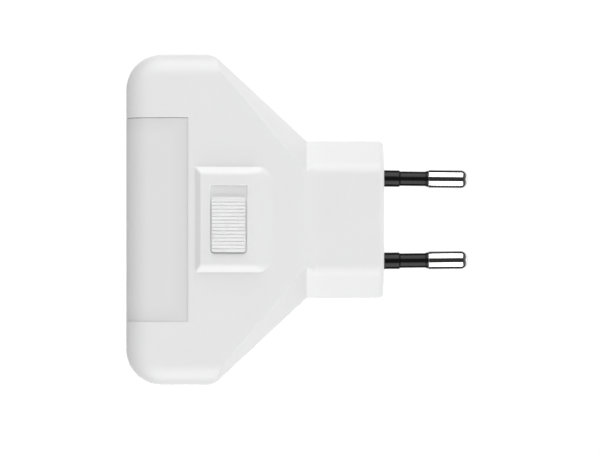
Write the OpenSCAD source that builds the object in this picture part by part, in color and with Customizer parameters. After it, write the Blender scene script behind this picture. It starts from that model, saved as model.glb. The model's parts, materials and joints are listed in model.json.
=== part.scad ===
// Plug-in LED night light with a slide switch, for a recessed or flat two-pole wall socket.
// Millimetres. Origin at the centre of the plug's engagement face.
// +X points into the socket along the pins, +Z is up, the switch is on the -Y side.

/* [Body] */
// Depth of the whole housing in front of the plug face
body_depth = 57.65; // [54:0.05:64]
// Height of the housing across its wide front
body_h = 74; // [70:0.1:84]
// Thickness of the wide part of the housing
body_t = 19; // [17.5:0.1:22]
// Radius of the two front corners seen from the side
front_r = 8; // [6.5:0.1:9]
// Radius where the straight edge turns into the slanted one
shoulder_r = 5.4; // [5.3:0.1:7]
// Radius of the soft edge between the side faces and the rim
edge_r = 5.25; // [4:0.05:5.3]
// Length of the straight top edge's theoretical corner from the plug face
shoulder_x = 38.3; // [36:0.1:42]
// Wall thickness of the mouldings
wall = 1.8; // [1.5:0.1:2]

/* [Plug neck] */
// Width of the neck across the pins
neck_h = 35.2; // [34.6:0.1:36]
// Thickness of the neck
neck_t = 16.6; // [15.5:0.1:17.2]
// Half height of the flat on the neck before its 45 degree chamfer
neck_flat = 11.5; // [10.5:0.1:12]
// Length of the neck that enters the socket
neck_len = 17.25; // [16.5:0.05:18]
// Radius of the edge around the engagement face
neck_end_r = 1.2; // [0.6:0.1:1.5]

/* [Pins] */
// Distance between the pins at the plug face
pin_pitch = 18.6; // [18:0.1:19.2]
// Lean of each pin towards the other, in degrees
pin_lean = 0.6; // [0:0.1:1]
// Length of the pins beyond the plug face
pin_len = 19; // [18.5:0.1:19.5]
// Diameter of the bare metal end
pin_d = 4; // [3.94:0.02:4.06]
// Length of the insulating sleeve beyond the plug face
sleeve_len = 10.2; // [9.5:0.1:11]

/* [Diffuser] */
// Height of the diffuser along the front
lens_h = 45.2; // [40:0.1:47]
// How far the diffuser wraps back along each side
lens_wrap = 14.05; // [12:0.05:15]
// Gap at the visible seam
seam = 0.08; // [0.05:0.01:0.15]

/* [Switch] */
// Height of the raised panel around the switch
plinth_rise = 1.3; // [1:0.1:1.6]
// Depth of the pocket that the knob slides in
pocket_deep = 0.45; // [0.4:0.05:0.8]
// Width of the pocket
pocket_w = 8.1; // [7.8:0.1:8.6]
// Length of the pocket
pocket_l = 15.2; // [15:0.1:16]
// Width of the knob
knob_w = 7.45; // [7:0.05:7.5]
// How far the knob stands proud of the raised panel
knob_proud = 0.65; // [0.4:0.05:0.9]
// Number of finger grooves on the knob
grooves = 14; // [10:1:14]
// Travel between off and on
travel = 2.5; // [2:0.1:2.5]

/* [Hidden] */

white = [0.93, 0.93, 0.93];
ht = body_t / 2;
hh = body_h / 2;
xf = -body_depth;
nh = neck_h / 2;
nt = neck_t / 2;
neck_k = nt + neck_flat;

// slanted edge of the silhouette, from the shoulder's theoretical corner to the neck
slope = (hh - nh) / (shoulder_x - neck_len);
slant = atan(slope);
slant_n = [sin(slant), cos(slant)];
function slant_z(x) = nh - slope * (x + neck_len);
// centre of the shoulder radius
shoulder_cz = hh - shoulder_r;
shoulder_cx = -shoulder_x - shoulder_r * (1 - slant_n[1]) / slant_n[0];

// slanting 45 degree facet between the side face and the rim: |y| + |z| = facet_k(x)
facet_m = 1.189;
facet_z0 = 11.05;
facet_x0 = -17.9;
function facet_k(x) = ht + facet_z0 + (facet_x0 - x) * facet_m;
facet_grow = sqrt(2 + facet_m * facet_m);

lens_z = lens_h / 2;
lens_x = xf + lens_wrap;
lip = 1.5;         // how far the diffuser's flange runs under the shells
lip_in = 1.0;      // depth of the flange below the outer surface

screw_at = [[-47.5, 31], [-47.5, -31], [-21.5, 0]];
screw_seat = 5.6;

sw_x = -34.55;     // centre of the switch
sw_z = 0.1;
plinth_y = -(ht + plinth_rise);
floor_y = plinth_y + pocket_deep;
inner_y = -(ht - wall);
knob_lo = sw_z - pocket_l / 2 + 0.25;
knob_hi = knob_lo + 12.1;
stem_z = sw_z - travel / 2;

frame_top = -6.2;
ear_z = 8.7;

board_y = 4.0;
board_t = 1.6;
stakes = [[-35.6, 23.4], [-35.6, -23.4], [-25.2, 10.2], [-25.2, -10.2]];
led_x = -49.4;
led_z = [-16, -5.3, 5.3, 16];

// leads that pass through the driver board, [x, z]
film_leads = [[-42, 15.2], [-42, 24.2]];
elco_leads = [[-42.5, -13.2], [-40, -13.2]];
bridge_leads = [[-44.6, -3], [-44.6, 3], [-39.6, -3], [-39.6, 3]];
fuse_leads = [[-28.2, -14.6], [-28.2, -1.4]];
res_leads = [[-31.5, -13.1], [-31.5, -2.9], [-28.2, 2.6], [-28.2, 13.4], [-31.5, 2.9], [-31.5, 13.1]];
pad_leads = [[-30.6, -17.6], [-35.2, 14.2], [-45.2, -7.4], [-45.2, 7.4]];
board_holes = concat(film_leads, elco_leads, bridge_leads, fuse_leads, res_leads, pad_leads);

function unit(v) = v / norm(v);
function arc_pts(a, p, b, r, n) =
  let (u = unit(a - p), v = unit(b - p), half = acos(u * v) / 2,
       t = r / tan(half), c = p + unit(u + v) * r / sin(half),
       w0 = p + u * t - c, w1 = p + v * t - c, f = 180 - 2 * half)
  [for (i = [0:n]) c + (sin((1 - i / n) * f) * w0 + sin(i / n * f) * w1) / sin(f)];
// octagon in Y and Z: half thickness hy, half height hz, chamfer |y|+|z| = k, edges rounded by r
function octagon(hy, hz, k, r, n) =
  let (p = [[hy, -(k - hy)], [hy, k - hy], [k - hz, hz], [-(k - hz), hz],
            [-hy, k - hy], [-hy, -(k - hy)], [-(k - hz), -hz], [k - hz, -hz]])
  [for (i = [0:7]) each arc_pts(p[(i + 7) % 8], p[i], p[(i + 1) % 8], r[i % 2 == 0 ? (i % 4 == 0 ? 0 : 1) : (i % 4 == 1 ? 0 : 1)], n)];

// closed skin over a row of sections [x, points in Y and Z]
module loft(rows) {
  n = len(rows[0][1]);
  m = len(rows);
  pts = [for (row = rows) for (q = row[1]) [row[0], q[0], q[1]]];
  sides = [for (i = [0:m - 2]) for (j = [0:n - 1])
    let (a = i * n + j, b = i * n + (j + 1) % n, c = a + n, d = b + n)
    each [[a, c, b], [b, c, d]]];
  polyhedron(pts, concat(sides, [[for (j = [0:n - 1]) j]], [[for (j = [n - 1:-1:0]) (m - 1) * n + j]]));
}

// flat round puck with a soft rim, standing on its side
module puck(x, z, r, inset, n) {
  e = edge_r - inset;
  h = ht - inset;
  c = r - edge_r;
  translate([x, 0, z]) rotate([90, 0, 0]) rotate_extrude($fn = n)
    polygon(concat([[0, -h]], [for (a = [-90:15:0]) [c + e * cos(a), -(ht - edge_r) + e * sin(a)]],
                   [for (a = [0:15:90]) [c + e * cos(a), (ht - edge_r) + e * sin(a)]], [[0, h]]));
}

// four-sided cutter that leaves the slanting facets
module facet_cutter(x0, x1, inset) {
  g = inset * facet_grow;
  loft([for (x = [x0, x1]) let (k = facet_k(x) - g) [x, [[k, 0], [0, k], [-k, 0], [0, -k]]]]);
}

// the wide part of the housing, drawn inset by its wall for the cavity
module body_form(inset, n) {
  far = edge_r + 0.02;
  tail = -9;
  tail_z = slant_z(tail) - inset / slant_n[1];
  intersection() {
    // soft edges along the front, the top and the bottom
    hull() for (s = [-1, 1]) {
      puck(xf + front_r, s * (hh - front_r), front_r, inset, n);
      puck(0, s * (hh - far), far, inset, n);
    }
    // outline seen from the side, cut off square along the slanted edges
    translate([0, ht + 1, 0]) rotate([90, 0, 0]) linear_extrude(body_t + 2) hull() {
      for (s = [-1, 1]) translate([shoulder_cx, s * shoulder_cz]) circle(r = shoulder_r - inset, $fn = 96);
      polygon([[xf - 1, hh - inset], [xf - 1, inset - hh], [tail, -tail_z], [tail, tail_z]]);
    }
    facet_cutter(xf - 2, -neck_len, inset);
  }
}

// the neck with its ramp, as a row of octagons
module neck_form() {
  xr = -15.4;
  xa = -17.9;
  xk = facet_x0 + (ht + facet_z0 - neck_k) / facet_m;  // where the facets run into the neck's chamfers
  row = function(x, f, d) [x, octagon(nt + (ht - nt) * f - d, nh - d, max(neck_k, facet_k(max(x, xa))) - d * sqrt(2), [3.2 - d, 1.5 - d], 4)];
  loft(concat([row(xa - 0.5, 1, 0), row(xa, 1, 0), row(xk, (xr - xk) / (xr - xa), 0), row(xr, 0, 0)],
    [for (a = [0:22.5:90]) row(-neck_end_r * (1 - sin(a)), 0, neck_end_r * (1 - cos(a)))]));
}

module outer_form() {
  body_form(0, 48);
  neck_form();
}

module cavity() {
  body_form(wall, 32);
  k = neck_k - wall * sqrt(2);
  difference() {
    loft([for (x = [-neck_len - 2, -2.05]) [x, octagon(nt - wall, nh - wall, k, [0.6, 0.4], 2)]]);
  }
}

module y_cyl(x, z, r, y0, y1, n = 32) translate([x, y1, z]) rotate([90, 0, 0]) cylinder(r = r, h = y1 - y0, $fn = n);
module x_cyl(y, z, r, x0, x1, n = 32) translate([x0, y, z]) rotate([0, 90, 0]) cylinder(r = r, h = x1 - x0, $fn = n);
module z_cyl(x, y, r, z0, z1, n = 32) translate([x, y, z0]) cylinder(r = r, h = z1 - z0, $fn = n);
module box(x, y, z) translate([x[0], y[0], z[0]]) cube([x[1] - x[0], y[1] - y[0], z[1] - z[0]]);

// the front of the housing seen along Z, for the diffuser and its seat
module front_profile(inset, back) {
  hull() {
    for (s = [-1, 1]) translate([xf + edge_r, s * (ht - edge_r)]) circle(r = edge_r - inset, $fn = 48);
    translate([back - 0.5, -(ht - inset)]) square([0.5, 2 * (ht - inset)]);
  }
}
module front_bar(inset, back, hz) translate([0, 0, -hz]) linear_extrude(2 * hz) front_profile(inset, back);

// pins lie on slightly leaning axes
module on_pin(s) translate([0, 0, s * pin_pitch / 2]) rotate([0, s * pin_lean, 0]) rotate([0, 90, 0]) children();

module lens_seat() {
  translate([xf - 1, -ht - 1, -lens_z - seam / 2]) cube([lens_wrap + 1 + seam / 2, body_t + 2, lens_h + seam]);
  front_bar(lip_in - 0.1, lens_x + lip + 0.1, lens_z + lip + 0.1);
}

// ribs, bosses and rests common to both halves, on the side s of the parting plane
module ribs(s) {
  for (u = [-1, 1]) {
    // guides for the LED board and the reflector
    for (x = [[-51.6, -50.35], [-48.1, -46.9]])
      box(x, s > 0 ? [4.4, ht] : [-ht, -4.4], u > 0 ? [24.6, 26.9] : [-26.9, -24.6]);
    // stops behind the pin carrier
    box([-12.0, -10.55], s > 0 ? [4.6, nt - 1] : [1 - nt, -4.6], u > 0 ? [6.0, 10.0] : [-10.0, -6.0]);
  }
}

module switch_side_shell() color(white) {
  difference() {
    union() {
      difference() {
        intersection() { outer_form(); box([-70, 5], [-20, 0], [-50, 50]); }
        difference() {
          cavity();
          ribs(-1);
          for (p = screw_at) y_cyl(p[0], p[1], 2.9, -ht, 0);
          for (u = [-1, 1]) {
            y_cyl(sw_x, sw_z + u * ear_z, 2.0, -ht, frame_top - 0.05);
            y_cyl(sw_x, sw_z + u * ear_z, 1.0, -ht, frame_top + 0.7);
            y_cyl(sw_x, sw_z + u * ear_z, 1.5, frame_top + 0.45, frame_top + 0.95);
          }
        }
      }
      // raised panel: steep bevels on three sides, a long ramp with cut corners towards the plug
      for (m = [0, 1]) mirror([0, 0, m])
        loft([for (r = [[-42.1, 11.68, 11.679, 0.001], [-40.8, 11.68, 10.2, 1], [-28.7, 11.68, 10.2, 1],
                        [-27.08, 11.68, 10.02, 0.5737], [-24.9, 9.78, 9.779, 0.001]])
          let (y = ht - 0.3, t = ht + plinth_rise * r[3])
          [r[0], [[-y, r[1]], [-ht, r[1]], [-t, r[2]], [-t, -1], [-y, -1]]]]);
    }
    box([sw_x - pocket_w / 2, sw_x + pocket_w / 2], [plinth_y - 1, floor_y], [sw_z - pocket_l / 2, sw_z + pocket_l / 2]);
    box([sw_x - 2.02, sw_x + 2.02], [floor_y - 0.5, inner_y + 0.5], [sw_z - 3.7, sw_z + 3.7]);
    lens_seat();
    for (p = screw_at) y_cyl(p[0], p[1], 1.05, -6.8, 0.5);
    for (s = [-1, 1]) on_pin(s) translate([0, 0, -4]) cylinder(r = 1.95, h = 6, $fn = 48);
  }
}

module rim_tongue(y0, y1, gap, deep) {
  // locating rib along the two slanted edges
  translate([0, y1, 0]) rotate([90, 0, 0]) linear_extrude(y1 - y0) difference() {
    polygon([for (q = [[-37.2, 1], [-23.5, 1], [-23.5, -1], [-37.2, -1]])
      [q[0], q[1] * (slant_z(q[0]) - (wall + gap) / slant_n[1])]]);
    polygon([for (q = [[-38, 1], [-23, 1], [-23, -1], [-38, -1]])
      [q[0], q[1] * (slant_z(q[0]) - (wall + deep) / slant_n[1])]]);
  }
}

module plain_side_shell() color(white) {
  difference() {
    union() {
      difference() {
        intersection() { outer_form(); box([-70, 5], [0, 20], [-50, 50]); }
        difference() {
          cavity();
          ribs(1);
          for (p = screw_at) y_cyl(p[0], p[1], 4.0, 0, ht);
          for (p = stakes) {
            y_cyl(p[0], p[1], 2.0, board_y + board_t + 0.05, ht);
            y_cyl(p[0], p[1], 0.9, board_y - 0.4, ht);
            y_cyl(p[0], p[1], 1.5, board_y - 0.55, board_y - 0.05);
          }
          rim_tongue(0, 1.6, -0.2, 1.0);
        }
      }
      rim_tongue(-1.4, 0.4, 0.12, 1.0);
    }
    lens_seat();
    for (p = screw_at) {
      y_cyl(p[0], p[1], 1.5, -0.5, ht);
      y_cyl(p[0], p[1], 2.9, screw_seat, ht + 1);
    }
    for (s = [-1, 1]) on_pin(s) translate([0, 0, -4]) cylinder(r = 1.95, h = 6, $fn = 48);
  }
}

module diffuser() color([0.9, 0.9, 0.9]) difference() {
  union() {
    front_bar(0, lens_x - seam / 2, lens_z - seam / 2);
    front_bar(lip_in, lens_x + lip, lens_z + lip);
  }
  front_bar(wall, 0, 50);
}

module pin(s) color([0.85, 0.85, 0.83]) on_pin(s) rotate_extrude($fn = 48)
  polygon(concat([[0, -13.6], [0.9, -13.6], [0.9, -10.7], [1.6, -10.5], [1.6, -8.5], [2.4, -8.5], [2.4, -7.0], [1.6, -7.0],
    [1.6, -2.2], [1.25, -2.2], [1.25, sleeve_len + 0.05], [pin_d / 2, sleeve_len + 0.05]],
    [for (a = [0:15:90]) [pin_d / 2 - 1.45 + 1.45 * cos(a), pin_len - 1.45 + 1.45 * sin(a)]], [[0, pin_len]]));
module upper_pin() pin(1);
module lower_pin() pin(-1);

module pin_sleeve(s) color([0.1, 0.1, 0.1]) on_pin(s) rotate_extrude($fn = 48)
  polygon([[1.27, -2.0], [1.88, -2.0], [1.88, 3.6], [1.65, 3.9], [1.65, 9.5], [1.78, 9.8], [1.86, sleeve_len], [1.27, sleeve_len]]);
module upper_pin_sleeve() pin_sleeve(1);
module lower_pin_sleeve() pin_sleeve(-1);

module pin_carrier() color([0.25, 0.25, 0.27]) difference() {
  k = neck_k - (wall + 0.2) * sqrt(2);
  loft([for (x = [-10.4, -2.15]) [x, octagon(nt - wall - 0.2, nh - wall - 0.2, k, [0.5, 0.3], 2)]]);
  for (s = [-1, 1]) on_pin(s) rotate_extrude($fn = 48)
    polygon([[0, -14], [1.62, -14], [1.62, -8.52], [2.42, -8.52], [2.42, -6.98], [1.62, -6.98], [1.62, 1], [0, 1]]);
  // coring pockets between the pins
  for (y = [-1, 1]) box([-11, -4], y > 0 ? [1.2, 4.6] : [-4.6, -1.2], [-5, 5]);
}

module knob_profile() {
  // side view: outwards from the pocket floor is negative, then Z
  top = pocket_deep + knob_proud;
  polygon([[-0.05, knob_lo], [-0.05, knob_hi], [0.2 - top, knob_hi - 0.05], [-top, knob_hi - 0.2],
           [-top, knob_lo + 0.15], [0.2 - top, knob_lo]]);
}

module switch_knob() color(white) {
  pitch = 0.7936 * 14 / grooves;
  difference() {
    translate([sw_x - knob_w / 2, floor_y, 0]) rotate([90, 0, 90]) linear_extrude(knob_w) knob_profile();
    for (i = [0:grooves - 1]) translate([sw_x - 5, plinth_y - knob_proud, knob_lo + 0.776 + pitch * i])
      rotate([45, 0, 0]) translate([0, -0.24, -0.24]) cube([10, 0.48, 0.48]);
  }
  difference() {
    union() {
      box([sw_x - 1.9, sw_x + 1.9], [floor_y - 0.3, frame_top - 0.25], [stem_z - 2.3, stem_z + 2.3]);
      box([sw_x - 2.6, sw_x + 2.6], [inner_y + 0.1, inner_y + 0.8], [stem_z - 1, stem_z + 1]);
    }
    box([sw_x - 1.26, sw_x + 1.26], [-8.8, 0], [stem_z - 1.26, stem_z + 1.26]);
  }
}

module switch_lever() color([0.12, 0.12, 0.12]) {
  box([sw_x - 1.2, sw_x + 1.2], [-8.6, -5.0], [stem_z - 1.2, stem_z + 1.2]);
  box([sw_x - 2.6, sw_x + 2.6], [-5.75, -4.3], [stem_z - 3.4, stem_z + 3.4]);
}

module switch_contact() color([0.8, 0.65, 0.35]) {
  box([sw_x - 1.6, sw_x + 1.6], [-4.25, -4.0], [stem_z - 3.0, stem_z + 3.0]);
  for (u = [-1, 1]) box([sw_x - 1.2, sw_x + 1.2], [-4.1, -3.75], [stem_z + u * 2.1 - 0.3, stem_z + u * 2.1 + 0.3]);
}

module switch_frame() color([0.75, 0.75, 0.75]) difference() {
  union() {
    box([sw_x - 3.3, sw_x + 3.3], [frame_top, frame_top + 0.4], [sw_z - 10.4, sw_z + 10.4]);
    for (u = [-1, 1]) box(u > 0 ? [sw_x + 2.9, sw_x + 3.3] : [sw_x - 3.3, sw_x - 2.9], [frame_top, -2.2], [sw_z - 6.6, sw_z + 6.6]);
  }
  box([sw_x - 1.4, sw_x + 1.4], [frame_top - 1, frame_top + 1], [sw_z - 2.75, sw_z + 2.75]);
  for (u = [-1, 1]) y_cyl(sw_x, sw_z + u * ear_z, 1.05, frame_top - 1, frame_top + 1);
}

term_z = [-4.2, 0, 4.2];
module switch_base() color([0.45, 0.25, 0.15]) difference() {
  box([sw_x - 2.85, sw_x + 2.85], [-3.3, -2.25], [sw_z - 6.4, sw_z + 6.4]);
  for (z = term_z) box([sw_x - 0.85, sw_x + 0.85], [-4, -1], [sw_z + z - 0.3, sw_z + z + 0.3]);
}
module switch_terminals() color([0.8, 0.78, 0.6]) for (z = term_z) {
  box([sw_x - 1.6, sw_x + 1.6], [-3.64, -3.32], [sw_z + z - 1.2, sw_z + z + 1.2]);
  box([sw_x - 0.8, sw_x + 0.8], [-3.4, 0.2], [sw_z + z - 0.25, sw_z + z + 0.25]);
}

module driver_board() color([0.75, 0.6, 0.35]) difference() {
  translate([0, board_y + board_t, 0]) rotate([90, 0, 0]) linear_extrude(board_t)
    polygon([[-46.4, -26.5], [-34, -26.5], [-23, -15], [-23, 15], [-34, 26.5], [-46.4, 26.5]]);
  for (p = board_holes) y_cyl(p[0], p[1], 0.5, board_y - 1, board_y + board_t + 1, 16);
  for (p = stakes) y_cyl(p[0], p[1], 1.0, board_y - 1, board_y + board_t + 1, 24);
  // clear of the neck screw's boss
  y_cyl(screw_at[2][0], screw_at[2][1], 4.4, board_y - 1, board_y + board_t + 1, 48);
}

module leads(list, y0) for (p = list) y_cyl(p[0], p[1], 0.4, y0, board_y + board_t + 0.6, 16);

module film_capacitor() {
  color([0.85, 0.7, 0.15]) box([-45, -39], [-5.6, board_y - 0.05], [12.9, 26.2]);
  color([0.8, 0.8, 0.8]) leads(film_leads, board_y - 0.5);
}
module electrolytic_capacitor() {
  color([0.15, 0.15, 0.2]) z_cyl(-41.25, board_y - 3.3, 3.15, -25.6, -14.4, 40);
  color([0.8, 0.8, 0.8]) {
    for (p = elco_leads) {
      z_cyl(p[0], board_y - 3.3, 0.35, -14.8, p[1], 16);
      y_cyl(p[0], p[1], 0.4, board_y - 3.7, board_y + board_t + 0.6, 16);
    }
  }
}
module bridge_rectifier() {
  color([0.12, 0.12, 0.12]) box([-45.2, -39.0], [1.0, board_y - 0.3], [-4.2, 4.2]);
  color([0.8, 0.8, 0.8]) leads(bridge_leads, board_y - 0.6);
}
// wire-ended part lying along Z on the board, from lead a to lead b
module axial(a, b, r, body, c) {
  y = board_y - r - 0.1;
  m = (a[1] + b[1]) / 2;
  color(c) {
    z_cyl(a[0], y, r, m - body / 2, m + body / 2, 32);
  }
  color([0.8, 0.8, 0.8]) {
    z_cyl(a[0], y, 0.33, a[1], b[1], 16);
    for (p = [a, b]) y_cyl(p[0], p[1], 0.4, y - 0.45, board_y + board_t + 0.6, 16);
  }
}
module fusible_resistor() axial(fuse_leads[0], fuse_leads[1], 1.7, 9.2, [0.35, 0.5, 0.3]);
module resistors() for (i = [0:2]) axial(res_leads[2 * i], res_leads[2 * i + 1], 1.15, 6.3, [0.75, 0.65, 0.5]);

module led_board() color([0.9, 0.9, 0.88]) difference() {
  box([led_x, led_x + 1.2], [-6.9, 6.9], [-26.3, 26.3]);
  for (z = [-7.4, 7.4]) x_cyl(2.0, z, 0.5, led_x - 1, led_x + 3, 16);
}
module leds() for (z = led_z) {
  color([0.95, 0.95, 0.9]) difference() {
    box([led_x - 0.8, led_x], [-1.4, 1.4], [z - 1.75, z + 1.75]);
    x_cyl(0, z, 1.1, led_x - 1, led_x - 0.4, 32);
  }
  color([0.95, 0.85, 0.3]) x_cyl(0, z, 1.1, led_x - 0.4, led_x - 0.35, 32);
}
module reflector() color(white) difference() {
  box([led_x - 0.9, led_x - 0.1], [-7.4, 7.4], [-26.3, 26.3]);
  for (z = led_z) box([led_x - 2, led_x + 1], [-1.7, 1.7], [z - 2.05, z + 2.05]);
}

// round wire along a hand-set route
module wire(route, r) {
  n = 8;
  m = len(route);
  dir = [for (i = [0:m - 1]) unit(i == 0 ? route[1] - route[0] : i == m - 1 ? route[m - 1] - route[m - 2] : unit(route[i] - route[i - 1]) + unit(route[i + 1] - route[i]))];
  up = [for (d = dir) let (a = abs(d[1]) < 0.8 ? [0, 1, 0] : [1, 0, 0]) unit(cross(d, a))];
  // keep the frame from turning over between rings
  side = [for (i = 0, u = up[0]; i < m; i = i + 1, u = i < m ? unit(u - (u * dir[i]) * dir[i]) : u) u];
  pts = [for (i = [0:m - 1]) let (v = cross(dir[i], side[i])) for (j = [0:n - 1])
    route[i] + r * (cos(360 * j / n) * side[i] + sin(360 * j / n) * v)];
  faces = [for (i = [0:m - 2]) for (j = [0:n - 1])
    let (a = i * n + j, b = i * n + (j + 1) % n, c = a + n, d = b + n) each [[a, c, b], [b, c, d]]];
  polyhedron(pts, concat(faces, [[for (j = [0:n - 1]) j]], [[for (j = [n - 1:-1:0]) (m - 1) * n + j]]));
}
// smooth curve through hand-set points
function spline(p, k) = let (n = len(p) - 1) concat([for (i = [0:n - 1]) for (j = [0:k - 1])
  let (t = j / k, a = p[max(i - 1, 0)], b = p[i], c = p[i + 1], d = p[min(i + 2, n)])
  0.5 * (2 * b + (c - a) * t + (2 * a - 5 * b + 4 * c - d) * t * t + (3 * b - a - 3 * c + d) * t * t * t)], [p[n]]);

tail_z = pin_pitch / 2 + 13.7 * sin(pin_lean);
upper_route = [[-13.8, 0, tail_z], [-16, -0.3, 10], [-20, -1.5, 10], [-25, -1.8, 8.5], [-30, -0.8, 6], [-33, 0.6, 4.7], [-34.3, 1.1, 4.35]];
lower_route = [[-13.8, 0, -tail_z], [-16, -0.3, -10], [-20, -1.2, -12], [-24.5, -1.5, -15.4], [-28.5, 0.2, -17.4], [-30.4, 2.2, -17.6], [-30.6, 3.9, -17.6]];
switch_route = [[-34.6, 0.9, 0.1], [-35.7, 1.7, 2.0], [-36.8, 2.0, 5.5], [-36.7, 2.0, 9.5], [-35.8, 1.9, 13.0], [-35.2, 2.7, 14.2], [-35.2, 3.9, 14.2]];
led_route = [[-45.2, 3.9, 7.4], [-45.6, 2.6, 7.4], [-46.6, 2.0, 7.4], [-48.1, 2.0, 7.4]];

module upper_pin_wire() color([0.45, 0.27, 0.15]) wire(spline(upper_route, 4), 0.62);
module lower_pin_wire() color([0.2, 0.35, 0.65]) wire(spline(lower_route, 4), 0.62);
module switch_wire() color([0.45, 0.27, 0.15]) wire(spline(switch_route, 4), 0.6);
module led_wires() for (s = [-1, 1])
  color(s > 0 ? [0.7, 0.1, 0.1] : [0.1, 0.1, 0.1]) wire(spline([for (q = led_route) [q[0], q[1], s * q[2]]], 4), 0.5);

module housing_screws() color([0.7, 0.7, 0.72]) for (p = screw_at) difference() {
  translate([p[0], 0, p[1]]) rotate([-90, 0, 0]) rotate_extrude($fn = 40)
    polygon([[0, -6], [0.5, -6], [1.04, -5.0], [1.04, screw_seat - 0.6], [1.4, screw_seat + 0.02], [2.6, screw_seat + 0.02],
             [2.6, screw_seat + 0.9], [2.2, screw_seat + 1.5], [1.4, screw_seat + 1.8], [0, screw_seat + 1.9]]);
  for (a = [0, 90]) translate([p[0], screw_seat + 1.6, p[1]]) rotate([0, a + 20, 0]) cube([2.9, 1.6, 0.6], center = true);
}

switch_side_shell();
plain_side_shell();
diffuser();
upper_pin();
lower_pin();
upper_pin_sleeve();
lower_pin_sleeve();
pin_carrier();
switch_knob();
switch_lever();
switch_contact();
switch_frame();
switch_base();
switch_terminals();
driver_board();
film_capacitor();
electrolytic_capacitor();
bridge_rectifier();
fusible_resistor();
resistors();
led_board();
leds();
reflector();
upper_pin_wire();
lower_pin_wire();
switch_wire();
led_wires();
housing_screws();
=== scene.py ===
import json
import math

import bmesh
import bpy
import numpy as np
from mathutils import Matrix, Vector


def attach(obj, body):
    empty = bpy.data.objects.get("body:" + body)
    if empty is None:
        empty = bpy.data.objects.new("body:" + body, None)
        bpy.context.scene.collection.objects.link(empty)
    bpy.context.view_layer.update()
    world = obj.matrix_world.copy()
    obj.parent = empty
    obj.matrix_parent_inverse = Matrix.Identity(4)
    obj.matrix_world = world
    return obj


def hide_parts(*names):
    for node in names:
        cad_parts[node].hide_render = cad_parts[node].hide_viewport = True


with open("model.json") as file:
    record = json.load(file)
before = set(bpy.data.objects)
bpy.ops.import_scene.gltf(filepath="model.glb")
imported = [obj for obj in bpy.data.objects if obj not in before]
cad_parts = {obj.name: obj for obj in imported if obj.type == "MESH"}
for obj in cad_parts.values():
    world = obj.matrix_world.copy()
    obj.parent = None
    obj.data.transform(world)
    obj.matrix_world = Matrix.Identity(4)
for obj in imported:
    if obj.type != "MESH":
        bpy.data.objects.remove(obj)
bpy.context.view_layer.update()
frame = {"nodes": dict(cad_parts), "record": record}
MM = 0.001
F = np.float32

# ---------------------------------------------------------------- distance helpers (millimetres)


def smax(a, b, k):
    h = np.maximum(k - np.abs(a - b), 0) / k
    return np.maximum(a, b) + h * h * (k * 0.25)


def smin(a, b, k):
    return -smax(-a, -b, k)


def rmax(a, b, r):
    """intersection of two faces at a right angle, its edge rounded by r"""
    return np.minimum(np.maximum(a, b), -r) + np.hypot(np.maximum(a + r, 0), np.maximum(b + r, 0))


def amax(a, b, r, cosb):
    """intersection of two faces whose normals have that cosine, its edge rounded by r"""
    u, v = a + r, b + r
    s2 = 1 - cosb * cosb
    p, q = (u - v * cosb) / s2, (v - u * cosb) / s2
    near = (p > 0) & (q > 0)
    d = np.sqrt(np.maximum(u * u + v * v - 2 * u * v * cosb, 0) / s2) - r
    return np.where(near, d, np.maximum(a, b))


def span(v, a, b):
    """negative between a and b"""
    return np.abs(v - (a + b) / 2) - (b - a) / 2


# ---------------------------------------------------------------- mesher


def lines(*parts):
    """grid lines from (start, end, step) stretches that follow each other"""
    out = []
    for a, b, step in parts:
        n = max(1, int(round(abs(b - a) / step)))
        out.extend(a + (b - a) * i / n for i in range(n))
    out.append(parts[-1][1])
    return np.array(out, float) + 0.00317


def gradient(f, p, e=0.012):
    g = np.empty_like(p)
    for i in range(3):
        d = np.zeros(3)
        d[i] = e
        a, b = p + d, p - d
        g[:, i] = (f(a[:, 0], a[:, 1], a[:, 2]) - f(b[:, 0], b[:, 1], b[:, 2])) / (2 * e)
    return g


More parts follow.
